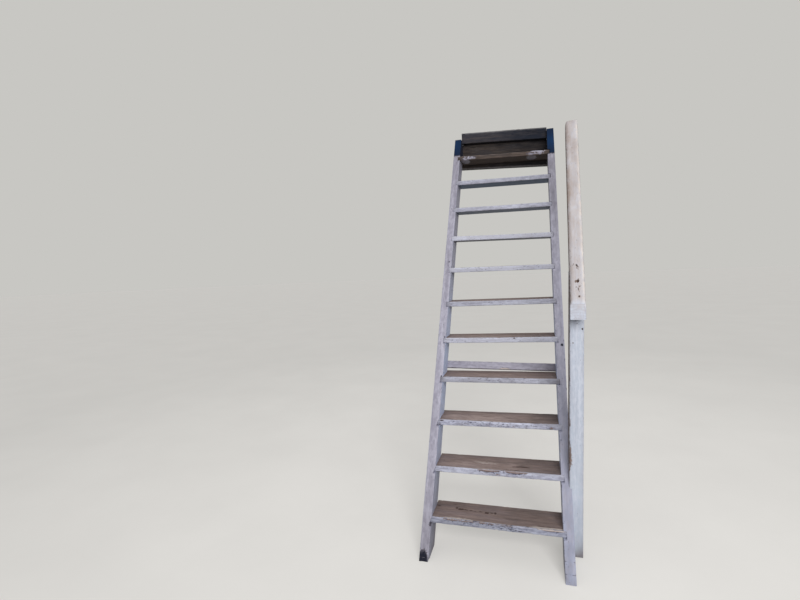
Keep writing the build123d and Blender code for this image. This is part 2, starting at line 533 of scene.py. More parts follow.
# One value for each tread, from below. The higher undersides are darker and bluer, as painted shade; the
# fronts get painted light, the lowest a little painted blue shade.
treadTones = {
    "frontDirt": (0.44, 0.03, 0, 0.42, 0.05, 0.20, 0.03, 0.02, 0.16, 0.26, 0.22),
    "frontPaintedLight": (-0.14, 0.02, 0, 0.10, 0.28, 0.10, 0.30, 0.36, 0.10, 0.05, 0),
    "topTone": (0.15, 0.50, 0.80, 0.45, 0.55, 0.45, 0.3, 0.3, 0.3, 0.3, 0),
    "underDirtAndShade": (0.35,) * 7 + (0.85, 0.45, 0.25, 0.12),
    "underPaintedShade": (-0.15,) * 7 + (-0.25, -0.66, -0.92, 0),
}
treadMarks = {
    1: {
        "dark": ovals(
            (-214, 114, 33, 9, 12, 10, 0.74), (-190, 106, 33, 20, 11, 10, 0.74),
            (-162, 104, 33, 16, 9, 10, 0.64), (-110, 102, 33, 50, 8, 10, 0.56),
            (-50, 100, 33, 18, 11, 10, 0.74), (-26, 101, 33, 14, 9, 10, 0.64),
            (-6, 103, 33, 10, 11, 10, 0.78), (-318, 120, 33, 16, 10, 10, 0.70),
            (250, 24, 33, 80, 7, 6, 0.62), (305, 0, 26, 40, 6, 3.5, 0.9),
            (90, 0, 11, 110, 6, 12, 0.50), (-50, 0, 22, 300, 6, 14, 0.46),
        ),
        "light": ovals(
            (-190, 6, 32, 120, 20, 12, 0.62), (265, 10, 33, 115, 18, 9, 1.0), (0, 4, 33, 150, 12, 8, 0.50)
        ),
        "worn": ovals(
            (90, 0, 10, 100, 6, 10, 0.40), (-190, 2, 31, 125, 10, 12, 0.58), (275, 4, 32, 85, 10, 11, 0.78),
            (0, 2, 31, 150, 10, 9, 0.50), (0, 0, 14, 340, 6, 14, 0.30),
        ),
        "dirty": ovals((200, 90, 33, 260, 140, 20, 0.55)),
        "chips": ((1, -0.16, 0.02, 0.003), (0, 0.163, 0.024, 0.004), (1, 0.26, 0.05, 0.003)),
    },
    2: {
        "dark": ovals(
            (130, 70, 33, 45, 10, 10, 0.52), (-35, 28, 33, 50, 10, 10, 0.46), (85, 22, 33, 80, 9, 10, 0.50),
            (20, 0, 24, 210, 20, 13, 0.51),
        ),
        "light": ovals(
            (-38, 5, 34, 70, 18, 10, 0.62), (104, 5, 34, 85, 16, 10, 0.62), (-60, 90, 33, 90, 22, 12, 0.42)
        ),
        "worn": ovals(
            (30, 0, 14, 250, 6, 12, 0.30), (-38, 2, 30, 80, 10, 13, 0.66), (104, 2, 30, 85, 10, 13, 0.64)
        ),
        "dirty": ovals((240, 90, 33, 180, 140, 20, 0.60)),
        "chips": ((1, -0.04, 0.03, 0.003), (1, 0.10, 0.03, 0.0025)),
        "splits": ({"across": 0.066, "lip": 0.0014, "from": 0.085, "to": 0.175, "deep": 0.0030},),
    },
    3: {
        "dark": ovals(
            (-316, 0, 28.5, 26, 6, 4, 0.9), (-332, 0, 8, 16, 10, 8, 0.75), (0, 0, 21, 360, 6, 15, 0.44)
        ),
        "worn": ovals(
            (-316, 0, 28.5, 26, 6, 4, 0.44), (-332, 0, 8, 16, 10, 8, 0.40), (0, 0, 14, 330, 6, 14, 0.30),
            (290, 0, 12, 30, 6, 12, 0.44),
        ),
        "dirty": ovals((290, 90, 33, 160, 140, 20, 0.75)),
        "chips": ((1, -0.306, 0.032, 0.003), (0, 0.29, 0.02, 0.002)),
    },
    4: {
        "dark": ovals((0, 0, 21, 340, 6, 15, 0.45)),
        "worn": ovals((-5, 0, 12, 45, 6, 10, 0.34), (0, 0, 18, 300, 6, 12, 0.20)),
    },
    5: {
        "dark": ovals((92, 0, 26, 6, 5, 5, 1)),
        "worn": ovals((100, 0, 30, 200, 6, 10, 0.28), (92, 0, 26, 5, 5, 5, 0.8)),
    },
    6: {"worn": ovals((-30, 0, 22, 200, 6, 10, 0.26))},
    8: {"worn": ovals((180, 0, 28, 140, 6, 10, 0.28))},
    9: {"worn": ovals((-120, 0, 24, 100, 6, 10, 0.26))},
    11: {
        "paintLeft": ovals(
            (-262, 0, 18, 85, 6, 18, 0.62), (245, 0, 14, 85, 6, 18, 0.58), (262, 0, 28, 70, 6, 8, 0.95),
            (-292, 50, 0, 48, 90, 6, 0.78), (215, 70, 0, 50, 110, 6, 0.72),
        ),
    },
}


def treadLook(board, number):
    seed, skin = board["seed"], board["skin"]

    def look(point):
        low, high = arrisNear(point, board)[:2]
        top = point.z > treadThickness - skin and point.y > 0.0002
        front = point.y < skin
        under = point.z < skin and not front
        rag = patch(point, (30, 60, 10), seed)
        worn = 0.04 + 0.10 * patch(point, (5, 20, 20), seed + 4)
        if front:
            crest = fade(high, 0.009)
            worn += 0.50 * crest * crest * patch(point, (9, 60, 10), seed + 6)
            worn += 0.30 * fade(low, 0.006) ** 2 * rag
            worn = max(worn, inMark(point, board, "worn"))
        if top and point.y > 0.002:
            edge = board["topEdge"] * 1.2 * patch(point, (7, 0, 0), seed + 3)
            worn = max(worn, min(1.3, 0.26 + (point.y - edge) * 62))
        if under:
            worn = 0.10 + 0.22 * patch(point, (4, 18, 18), seed + 7)
        if point.y > treadDepth - skin:
            worn = max(worn, 0.35 * rag + 0.2)
        if number == 11:
            worn = 1 - inMark(point, board, "paintLeft")
        inEnd = fade(0.333 - abs(point.x), 0.03)  # darker in the corners by the strings
        clouds = patch(point, (4, 14, 14), seed + 2)
        if front:
            dirtAndShade = board["frontDirt"] * (0.6 + 0.8 * clouds) + 0.25 * inEnd
            if number == 1:  # the lowest one is cleaner to the right
                dirtAndShade *= 1 - 0.6 * within((point.x - 0.02) / 0.15)
        else:
            dirtAndShade = 0.10 + 0.22 * clouds + 0.12 * exp(-(number - 1) / 1.5) + 0.35 * inEnd
        dirtAndShade = max(dirtAndShade, inMark(point, board, "dirty"))
        scarAndPaintedLight = inMark(point, board, "light") - inMark(point, board, "dark")
        paintedLightAndScuff = 0
        if top:
            # painted shade: darker towards the back, under the tread above
            dirtAndShade += 0.25 * max(0, point.y - 0.13) / 0.05
            for split in board.get("splits", ()):
                if split["from"] < point.x < split["to"] and abs(point.y - split["across"]) < 0.002:
                    scarAndPaintedLight = -1
            scuffed = exp(-((point.y - 0.05) / 0.11) ** 2 - ((point.x + 0.10) / 0.34) ** 2)
            paintedLightAndScuff = board["topTone"] * scuffed * (0.5 + patch(point, (4, 30, 0), seed + 8))
        if front:
            if scarAndPaintedLight == 0:
                scarAndPaintedLight = -0.24 * patch(point, (3, 20, 20), seed + 5)
            # painted light on the front, painted blue shade on the lowest, and a painted highlight along the
            # top arris
            paintedLightAndScuff = board["frontPaintedLight"] + 0.55 * crest * patch(point, (8, 30, 30), seed + 9)
        # painted shade: the undersides darker, and bluer higher up
        if under:
            dirtAndShade += board["underDirtAndShade"]
            paintedLightAndScuff = board["underPaintedShade"]
        return min(worn, 1.3), min(dirtAndShade, 1), scarAndPaintedLight, paintedLightAndScuff

    return look


treadPieces = []
for number in range(1, len(treadTops) + 1):
    tones = {key: values[number - 1] for key, values in treadTones.items()}
    board = dict(treads, seed=10 + number, **tones, **treadMarks.get(number, {}))
    leftEnd = Vector((-treadThickness, 0, strings["housingLeans"][number - 1])).normalized()
    half = board["halfLength"] * toRight
    board["cuts"] = [(-half, leftEnd), (half, toRight)]
    piece = makeBoard(f"treadTimber{number:02d}", board, treadMatrix(number - 1), treadLook(board, number))
    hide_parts(f"tread_{number:02d}")
    treadPieces.append(piece)
print("loft stair: treads")

# Newel post, leaning outwards, let in over the right string and cut to the rail's rake
newel = {
    "width": 0.068,
    "thickness": 0.095,
    "ends": (-0.02, 1.60),
    "along": 0.006,
    "across": 0.008,
    "arrisLoops": (0.0012, 0.003, 0.006, 0.009),
    "arris": (0.0060, 0.0030, 0.0038, 0.0028),
    "ragged": 1.2,
    "chipsPerMetre": (10, 4, 7, 3),
    "chipDepth": 0.0040,
    "waves": 0.0007,
    "endWear": 0.0025,
    "setback": 0.220,
    "innerX": 0.361,
    "lean": radians(0.9),
    "seed": 31,
    "worn": ovals(
        (528, 0, 0, 100, 13, 12, 0.64), (500, 0, 0, 40, 18, 12, 0.60), (700, 0, 0, 40, 8, 10, 0.55),
        (940, 0, 0, 60, 6, 8, 0.52), (1107, 18, 0, 7, 5, 5, 0.7), (1177, 60, 0, 7, 5, 5, 0.7),
    ),
    "chips": ((0, 0.53, 0.06, 0.004), (0, 0.70, 0.02, 0.003)),
    "dark": ovals((1107, 18, 0, 5, 4, 5, 0.8), (1177, 60, 0, 5, 4, 5, 0.8)),
}
rail = {
    "width": 0.062,
    "thickness": 0.072,
    "ends": (-0.25, 1.30),
    "along": 0.006,
    "across": 0.007,
    "arrisLoops": (0.0015, 0.004, 0.008, 0.014),
    "arris": (0.004, 0.004, 0.018, 0.0165),
    "ragged": 0.35,
    "chipsPerMetre": (4, 4, 3, 2),
    "chipDepth": 0.0030,
    "waves": 0.0006,
    "endWear": 0.004,
    "pitch": radians(56.8),
    "skew": radians(3.0),
    "height": 1.431,
    "innerX": 0.381,
    "noseOverhang": 0.080,
    "noseCut": 0.078,
    "reach": 0.830,
    "seed": 37,
    # counterbored nail holes in the top: along, across, radius
    "holes": ((-0.011, 0.0415, 0.0036), (0.074, 0.0405, 0.0056), (0.168, 0.0355, 0.0050)),
    "worn": ovals(
        (152, 62, 41, 18, 10, 9, 0.60), (72, 62, 31, 8, 10, 14, 0.66), (78, 62, 41, 13, 10, 10, 0.60),
        (30, 62, 36, 45, 10, 14, 0.36), (-11, 62, 41, 10, 10, 7, 0.55),
    ),
}
railRun = Vector((sin(rail["skew"]), cos(rail["skew"]), 0))
railOut = Vector((cos(rail["skew"]), -sin(rail["skew"]), 0))
railAlong = railRun * cos(rail["pitch"]) + toTop * sin(rail["pitch"])
railUp = railOut.cross(railAlong)
railDrop = rail["width"] / cos(rail["pitch"])  # the rail's depth, measured plumb
railUnder = atRun(rail["innerX"], newel["setback"], rail["height"] - railDrop)
railPlace = boardMatrix(railUnder, railAlong, railUp)

newelOut, newelUp = tilted(newel["lean"])
newelPlace = boardMatrix(atRun(newel["innerX"], newel["setback"], 0), newelUp, newelOut)
newel["cuts"] = [localCut(newelPlace, atRun(0, 0, 0), -toTop), localCut(newelPlace, railUnder, railUp)]


def newelLook(point):
    seed = newel["seed"]
    crest = fade(min(arrisNear(point, newel)), 0.007)
    worn = 0.02 + 0.40 * crest * patch(point, (20, 40, 40), seed) + 0.10 * patch(point, (3, 25, 25), seed + 3)
    inner = fade(point.y, 0.004) if point.z > 0.004 else 0  # the side towards the stair
    # the inner side, worn and darkened, partly as painted shade
    worn = max(worn, inMark(point, newel, "worn"), 0.58 * inner)
    height = max(point.x, 0)
    dirtAndShade = 0.40 * exp(-height / 0.16) + 0.7 * exp(-height / 0.03) + 0.4 * inner
    dirtAndShade += 0.14 * patch(point, (5, 24, 24), seed + 6)
    # the sides a little darker than the front
    if point.z > 0.004:
        dirtAndShade += 0.10
    # painted shade along the front arris on the stair side
    dirtAndShade += 0.25 * fade(point.y + point.z, 0.010)
    paintedLightAndScuff = 0
    # painted bluish light on the front, stronger low down; darker by the front's right edge
    if point.z < 0.006:
        paintedLightAndScuff = 0.35 * patch(point, (7, 30, 30), seed + 8) + 0.40 * exp(-height / 0.45)
        dirtAndShade += 0.22 * fade(newel["width"] - point.y, 0.012)
    return min(worn, 1), min(dirtAndShade, 1), -inMark(point, newel, "dark"), paintedLightAndScuff


stringSize = (3.1, strings["width"], strings["thickness"])  # past the right string's ends
stringBlock = boxCutter("stringBlock", (-0.05, 0, 0), stringSize, stringMatrix(1))
newelPost = makeBoard("newelTimber", newel, newelPlace, newelLook, [stringBlock])
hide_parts("newel_post")
print("loft stair: newel")

# Handrail, with a plumb and level cut nose and a plumb top end
noseTop = rail["height"] - rail["noseOverhang"] * tan(rail["pitch"])
noseBottom = noseTop - rail["noseCut"]
noseFace = atRun(rail["innerX"], newel["setback"], 0) - railRun * rail["noseOverhang"]
rail["cuts"] = [
    localCut(railPlace, noseFace, -railRun),
    localCut(railPlace, atRun(0, 0, noseBottom), -toTop),
    localCut(railPlace, atRun(0, rail["reach"], 0), toBack),
]
nailHoles = []  # ragged cones, wider at the top
for along, across, radius in rail["holes"]:
    bm = bmesh.new()
    bmesh.ops.create_cone(
        bm, cap_ends=True, segments=11, radius1=radius * 0.7, radius2=radius * 1.25, depth=0.012
    )
    bmesh.ops.rotate(bm, cent=(0, 0, 0), matrix=Matrix.Rotation(-pi / 2, 3, "X"), verts=bm.verts)
    bmesh.ops.scale(bm, vec=(1.25, 1, 0.9), verts=bm.verts)
    for vert in bm.verts:
        vert.co.x += 0.0008 * noise.noise(vert.co * 300)
    bmesh.ops.translate(bm, vec=(along, rail["width"] - 0.001, across), verts=bm.verts)
    nailHoles.append(finishMesh("nailHole", bm, railPlace))


def inHole(point):
    for along, across, radius in rail["holes"]:
        near = sqrt(((point.x - along) / 1.25) ** 2 + (point.z - across) ** 2)
        if near < radius * 1.3 and 0.04 < point.y < rail["width"] - 0.0015:
            return True
    return False


def railLook(point):
    seed = rail["seed"]
    upper = within((point.y - rail["width"] + 0.016) / 0.010)
    worn = 0.03 + 0.14 * patch(point, (4, 30, 30), seed)
    leftArris, rightArris = arrisNear(point, rail)[2:]
    leftCrest, rightCrest = fade(leftArris, 0.020), fade(rightArris, 0.016)
    worn += 0.42 * leftCrest * patch(point, (12, 30, 30), seed + 2)
    fromNose = within((railPlace @ point - noseFace).dot(railRun) / 0.016)  # 0 on the cut nose
    inner = fromNose * fade(point.z, 0.008) if point.y < rail["width"] - 0.008 else 0  # the inner side, worn and darkened partly as painted shade, as on the newel
    worn = max(worn * fromNose, 0.74 * inner, inMark(point, rail, "worn"))
    hand = bell(point.x, 0.10, 0.22)  # where hands keep the top clean
    dirtAndShade = 0.30 + upper * (0.22 - 0.20 * hand) + 0.22 * patch(point, (5, 16, 16), seed + 1)
    # painted shade along the left arris and on the inner side
    dirtAndShade = 0.02 + fromNose * (dirtAndShade + 0.60 * leftCrest + 0.3 * inner)
    # painted highlight on the right crest, a paler upper face, and painted blue shade on the inner side
    dirtAndShade *= 1 - 0.9 * rightCrest
    paintedLightAndScuff = 1.2 * rightCrest + fromNose * (0.20 * upper * (1 - leftCrest) - 0.25 * inner)
    if point.y <= rail["width"] - 0.006 and fromNose < 0.1:
        paintedLightAndScuff = 0
    return min(worn, 1), min(dirtAndShade, 1), -1 if inHole(point) else 0, paintedLightAndScuff


handrail = makeBoard("handrailTimber", rail, railPlace, railLook, nailHoles)
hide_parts("handrail")
print("loft stair: handrail")

# Back rail, flat on the strings' back edges
backRail = {
    "width": 0.046,
    "thickness": 0.018,
    "ends": (-0.386, 0.386),
    "along": 0.006,
    "across": 0.007,
    "arrisLoops": (0.001, 0.0025, 0.005),
    "arris": (0.0022, 0.0020, 0.0022, 0.0020),
    "ragged": 1.0,
    "chipsPerMetre": (5, 6, 6, 6),
    "chipDepth": 0.0025,
    "waves": 0.0005,
    "endWear": 0.0015,
    "height": treadTops[3] + 0.017,
    "tilt": radians(0.45),
    "seed": 43,
    "chips": ((2, 0.03, 0.03, 0.003),),
    "bruise": ovals((30, 46, 0, 45, 10, 12, 0.75)),
}
backOut = Vector((0, slope, -1)).normalized()
backAlong = tilted(backRail["tilt"])[0]
backAlong = (backAlong - backOut * backAlong.dot(backOut)).normalized()
backDown = backOut.cross(backAlong)
stringRun = strings["width"] / sin(rake)
backOrigin = atRun(0, stringRun + backRail["height"] / slope, backRail["height"])
backRailPlace = boardMatrix(backOrigin - backDown * backRail["width"], backAlong, backDown)
backRail["cuts"] = squareCuts(backRailPlace, stair["halfWidth"])


def backRailLook(point):
    seed = backRail["seed"]
    crest = fade(min(arrisNear(point, backRail)), 0.006)
    bruise = inMark(point, backRail, "bruise")
    worn = max(0.12 + 0.5 * crest * patch(point, (20, 40, 40), seed), bruise)
    # painted shadow: darker towards the right end
    dirtAndShade = 0.15 + 0.2 * patch(point, (4, 18, 18), seed + 1) + 0.5 * within((point.x - 0.18) / 0.12)
    return min(worn, 1), min(dirtAndShade, 1), 1.2 * bruise, 0


backRailPiece = makeBoard("backRailTimber", backRail, backRailPlace, backRailLook)
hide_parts("back_rail")

# Hanger board and landing edge, which both fall to the right
head = {
    "fall": atan(0.035 / stair["clearWidth"]),
    "landingTop": treadTops[-1] + 0.2125,
    "landingHeight": 0.085,
    "hangerHeight": 0.200,
}
hanger = {
    "width": head["hangerHeight"] * cos(head["fall"]),
    "thickness": hangerThickness,
    "ends": (-0.40, 0.40),
    "along": 0.006,
    "across": 0.009,
    "arrisLoops": (0.0012, 0.003, 0.006),
    "arris": (0.0015, 0.0045, 0.0015, 0.0045),
    "ragged": 1.2,
    "chipsPerMetre": (3, 12, 3, 8),
    "chipDepth": 0.0045,
    "waves": 0.0011,
    "endWear": 0.002,
    "seed": 51,
}
nosing = dict(
    hanger,
    width=head["landingHeight"] * cos(head["fall"]),
    thickness=0.083,
    ends=(-0.345, 0.345),
    arris=(0.0015, 0.0045, 0.0015, 0.0055),
    chipsPerMetre=(3, 10, 3, 14),
    seed=57,
)


def headMatrix(height, drop):
    # the bottom back edge of a head board, at the middle of the stair
    return boardMatrix(atRun(0, hangerBack, height - drop), *tilted(head["fall"]))


def darkLook(board, shade, paleArris):
    # painted shade darker towards the right, painted blue shade by the given amount, and painted highlights
    # on the crests and along one long arris
    def look(point):
        seed = board["seed"]
        edges = arrisNear(point, board)
        crest = fade(min(edges), 0.008)
        dirtAndShade = 0.45 * patch(point, (4, 16, 16), seed) + 0.8 * within((point.x + 0.10) / 0.35)
        scarAndPaintedLight = 0.60 * crest * patch(point, (14, 30, 30), seed + 1)
        if edges[paleArris] < 0.008:
            scarAndPaintedLight, dirtAndShade = 0.50 + 0.5 * patch(point, (12, 30, 30), seed + 2), 0.3 * dirtAndShade
        return 1, min(dirtAndShade, 1), scarAndPaintedLight, -shade * (0.5 + patch(point, (2, 12, 12), seed + 5))
    return look


hangerPlace = headMatrix(head["landingTop"] - head["landingHeight"], head["hangerHeight"])
nosingPlace = headMatrix(head["landingTop"], head["landingHeight"])
hanger["cuts"] = squareCuts(hangerPlace, stair["halfWidth"])
nosing["cuts"] = squareCuts(nosingPlace, stair["clearWidth"] / 2)
hangerBoard = makeBoard("hangerTimber", hanger, hangerPlace, darkLook(hanger, 0.02, 1))
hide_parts("hanger_board")
landingNosing = makeBoard("landingTimber", nosing, nosingPlace, darkLook(nosing, 0.14, 3))
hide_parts("landing_nosing")
print("loft stair: back rail and head boards")

# Nails: two through each string into every tread, one at each end of the back rail
# and one in each counterbored hole of the handrail
nails = {
    "headRadius": 0.0042,
    "headDepth": 0.0016,
    "sunk": 0.0004,  # how far the heads in the strings lie inside the faces
    "backFromFront": (0.045, 0.118),
    "backRailX": 0.355,
    "backRailRadius": 0.0036,
    "holeDepth": 0.0052,
    "seed": 61,
}
rng = random.Random(nails["seed"])
bm = bmesh.new()


def nailHead(spot, facing, radius):
    # a slightly domed, uneven head whose top is at the spot
    low, depth = radius * rng.uniform(0.92, 1.08), nails["headDepth"]
    made = bmesh.ops.create_cone(
        bm, cap_ends=True, segments=14, radius1=low, radius2=radius * 0.8, depth=depth
    )["verts"]
    tiltX, tiltY = [Matrix.Rotation(rng.uniform(-0.03, 0.03), 4, axis) for axis in "XY"]
    place = Matrix.Translation(spot) @ facing @ Matrix.Translation((0, 0, -depth / 2))
    bmesh.ops.transform(bm, matrix=place @ (tiltX @ tiltY), verts=made)


for index in range(len(treadTops)):
    for side in (-1, 1):
        for back in nails["backFromFront"]:
            strayed = back + rng.uniform(-0.008, 0.008)
            spot = treadMatrix(index) @ Vector((side * stair["halfWidth"], strayed, treadThickness / 2))
            spot.x = side * (stair["halfWidth"] - nails["sunk"])
            nailHead(spot, Matrix.Rotation(side * pi / 2, 4, "Y"), nails["headRadius"])
for side in (-1, 1):
    x = side * nails["backRailX"]
    spot = backRailPlace @ Vector((x, backRail["width"] / 2, backRail["thickness"] - 0.0002))
    nailHead(spot, backRailPlace.to_3x3().to_4x4(), nails["backRailRadius"])
for along, across, radius in rail["holes"]:
    spot = railPlace @ Vector((along, rail["width"] - nails["holeDepth"], across))
    nailHead(spot, railPlace.to_3x3().to_4x4() @ Matrix.Rotation(-pi / 2, 4, "X"), radius * 0.8)
nailHeads = finishMesh("nailHeads", bm, Matrix())
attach(nailHeads, "root")
print("loft stair: nails")


# Finishes. Colours are written as they look, in 0 to 255.

def colour(red, green, blue):
    parts = [part / 255 for part in (red, green, blue)]
    return tuple(p / 12.92 if p <= 0.04045 else ((p + 0.055) / 1.055) ** 2.4 for p in parts) + (1,)


def feed(tree, inputs, sockets):
    # sets each socket to a value, or links it to another node's output
    for socket, value in sockets.items():
        if isinstance(value, bpy.types.NodeSocket):
            tree.links.new(value, inputs[socket])
        else:
            inputs[socket].default_value = value


def addNode(tree, kind, sockets, **settings):
    node = tree.nodes.new("ShaderNode" + kind)
    for key, value in settings.items():
        setattr(node, key, value)
    feed(tree, node.inputs, sockets)
    return node


def calc(tree, operation, first, second=0.5, clamp=False):
    return addNode(tree, "Math", {0: first, 1: second}, operation=operation, use_clamp=clamp).outputs[0]


def times(tree, first, second, clamp=False):
    return calc(tree, "MULTIPLY", first, second, clamp)


def plus(tree, first, second, clamp=False):
    return calc(tree, "ADD", first, second, clamp)


def minus(tree, first, second, clamp=False):
    return calc(tree, "SUBTRACT", first, second, clamp)


def weighed(tree, *parts):
    # adds up outputs, each by its weight
    total = times(tree, *parts[0])
    for part in parts[1:]:
        total = plus(tree, total, times(tree, *part))
    return total


def vectorCalc(tree, operation, first, second=(0, 0, 0)):
    return addNode(tree, "VectorMath", {0: first, 1: second}, operation=operation).outputs


def spread(tree, value, low, high, toLow=0.0, toHigh=1.0):
    sockets = {"Value": value, "From Min": low, "From Max": high, "To Min": toLow, "To Max": toHigh}
    return addNode(tree, "MapRange", sockets).outputs["Result"]


def mixColours(tree, factor, first, second):
    return addNode(tree, "Mix", {0: factor, 6: first, 7: second}, data_type="RGBA").outputs[2]


def mapped(tree, place, shift, scale):
    return addNode(tree, "Mapping", {"Vector": place, "Location": shift, "Scale": scale}).outputs[0]


def noiseAt(tree, place, scale, detail, roughness=0.55, shift=(0, 0, 0), output="Fac"):
    moved = mapped(tree, place, shift, scale)
    sockets = {"Vector": moved, "Scale": 1.0, "Detail": detail, "Roughness": roughness}
    return addNode(tree, "TexNoise", sockets).outputs[output]


def objectPlace(tree):
    return addNode(tree, "TexCoord", {}).outputs["Object"]


def bumped(tree, height, strength, distance):
    sockets = {"Height": height, "Strength": strength, "Distance": distance}
    return addNode(tree, "Bump", sockets).outputs["Normal"]


def newGroup(name, floats, outputs):
    # a group that takes a place and some floats, and puts out floats
    tree = bpy.data.node_groups.new(name, "ShaderNodeTree")
    tree.interface.new_socket("Place", in_out="INPUT", socket_type="NodeSocketVector")
    for key, value in floats.items():
        tree.interface.new_socket(key, in_out="INPUT", socket_type="NodeSocketFloat").default_value = value
    for key in outputs:
        tree.interface.new_socket(key, in_out="OUTPUT", socket_type="NodeSocketFloat")
    given = tree.nodes.new("NodeGroupInput").outputs
    return tree, given, tree.nodes.new("NodeGroupOutput").inputs


def newMaterial(name):
    material = bpy.data.materials.new(name)
    material.use_nodes = True
    tree = material.node_tree
    return material, tree, tree.nodes["Principled BSDF"].inputs


def buildGrain():
    # wood grain along a board's X: broad streaks, fine fibres, growth rings and drying checks
    tree, given, out = newGroup("woodGrain", {}, ("Streak", "Fibre", "Rings", "Checks", "Height"))
    place = given["Place"]
    drift = noiseAt(tree, place, (1.3, 6, 6), 2, output="Color")
    drift = vectorCalc(tree, "SUBTRACT", drift, (0.5, 0.5, 0.5))[0]
    drift = vectorCalc(tree, "MULTIPLY", drift, (0, 0.03, 0.03))[0]
    wandered = vectorCalc(tree, "ADD", place, drift)[0]
    streak = noiseAt(tree, wandered, (1.8, 46, 46), 5, 0.62)
    fibre = noiseAt(tree, wandered, (14, 430, 430), 3, 0.6)
    centred = mapped(tree, wandered, (0, 0.045, 0.10), (0.12, 1, 1))
    rings = addNode(
        tree,
        "TexWave",
        {"Vector": centred, "Scale": 48.0, "Distortion": 2.2, "Detail": 2.0, "Detail Scale": 0.7},
        wave_type="RINGS",
        rings_direction="X",
        wave_profile="SAW",
    ).outputs["Fac"]
    line = noiseAt(tree, wandered, (2.1, 52, 52), 2, 0.5, (3, 1, 2))
    line = spread(tree, calc(tree, "ABSOLUTE", minus(tree, line, 0.5)), 0.002, 0.011, 1.0, 0.0)
    some = noiseAt(tree, place, (4, 17, 17), 2, 0.5, (7, 3, 5))
    checks = times(tree, line, spread(tree, some, 0.54, 0.62))
    height = weighed(tree, (fibre, 0.55), (rings, 0.30), (streak, 0.35), (checks, -1.0))
    feed(tree, out, {"Streak": streak, "Fibre": fibre, "Rings": rings, "Checks": checks, "Height": height})
    return tree


def buildPaintWear():
    # where paint has gone, with a crisp ragged edge, the thin dirty rim left beside it, and small nicks
    tree, given, out = newGroup(
        "paintWear", {"Wear": 0.0, "Ragged": 1.0, "Flecked": 0.0}, ("Bare", "Rim", "Nicks")
    )
    place, flecked = given["Place"], given["Flecked"]
    flakes = noiseAt(tree, place, (55, 95, 95), 6, 0.62)
    grainwise = noiseAt(tree, place, (11, 150, 150), 4, 0.6, (2, 4, 1))
    fine = noiseAt(tree, place, (130, 230, 230), 3, 0.6, (5, 2, 3))
    mixed = weighed(tree, (flakes, 0.42), (grainwise, 0.26), (fine, 0.32))
    mixed = times(tree, minus(tree, mixed, 0.5), given["Ragged"])
    loss = plus(tree, given["Wear"], times(tree, mixed, 2.6))
    bare = spread(tree, loss, 0.48, 0.53)
    rim = times(tree, spread(tree, loss, 0.36, 0.48), minus(tree, 1.0, bare))
    small = noiseAt(tree, place, (48, 170, 170), 3, 0.55, (9, 3, 6))
    nicks = spread(tree, plus(tree, small, times(tree, given["Wear"], 0.42)), 0.735, 0.765)
    flecks = noiseAt(tree, place, (85, 150, 150), 3, 0.6, (4, 8, 3))
    flecks = spread(tree, plus(tree, flecks, times(tree, flecked, 0.22)), 0.66, 0.71)
    flecks = times(tree, flecks, spread(tree, flecked, 0.02, 0.15))
    feed(tree, out, {"Bare": bare, "Rim": rim, "Nicks": calc(tree, "MAXIMUM", nicks, flecks)})
    return tree


def buildGrimeAndShade():
    # dirt, and painted shade laid as dirt, in clouds and specks
    tree, given, out = newGroup("grimeAndShade", {"Amount": 0.0}, ("DirtAndShade", "Specks"))
    clouds = noiseAt(tree, given["Place"], (9, 22, 22), 5, 0.6)
    dirtAndShade = times(tree, given["Amount"], spread(tree, clouds, 0.25, 0.75, 0.45, 1.35), clamp=True)
    specks = noiseAt(tree, given["Place"], (120, 210, 210), 2, 0.5, (1, 5, 3))
    feed(tree, out, {"DirtAndShade": dirtAndShade, "Specks": spread(tree, specks, 0.70, 0.76)})
    return tree


def buildScars():
    # splintered edges for the marks: above 0 a scar is fresh pale wood, below 0 a dark gouge; the same values
    # also lay painted highlights on arrises and painted shade on the strings' heads
    tree, given, out = newGroup("scars", {"ScarAndPaintedLight": 0.0}, ("Fresh", "Deep"))
    scarAndPaintedLight = given["ScarAndPaintedLight"]
    splinters = noiseAt(tree, given["Place"], (60, 300, 300), 5, 0.65, (8, 1, 4))
    rough = times(tree, minus(tree, splinters, 0.5), 1.8)
    fresh = spread(tree, plus(tree, scarAndPaintedLight, rough), 0.30, 0.62)
    gouge = times(tree, scarAndPaintedLight, -1.0)
    deep = spread(tree, plus(tree, gouge, rough), 0.34, 0.50)
    fresh = times(tree, fresh, spread(tree, scarAndPaintedLight, 0.02, 0.25))
    feed(tree, out, {"Fresh": fresh, "Deep": times(tree, deep, spread(tree, gouge, 0.02, 0.20))})
    return tree


grainGroup = buildGrain()
wearGroup = buildPaintWear()
grimeAndShadeGroup = buildGrimeAndShade()
scarGroup = buildScars()


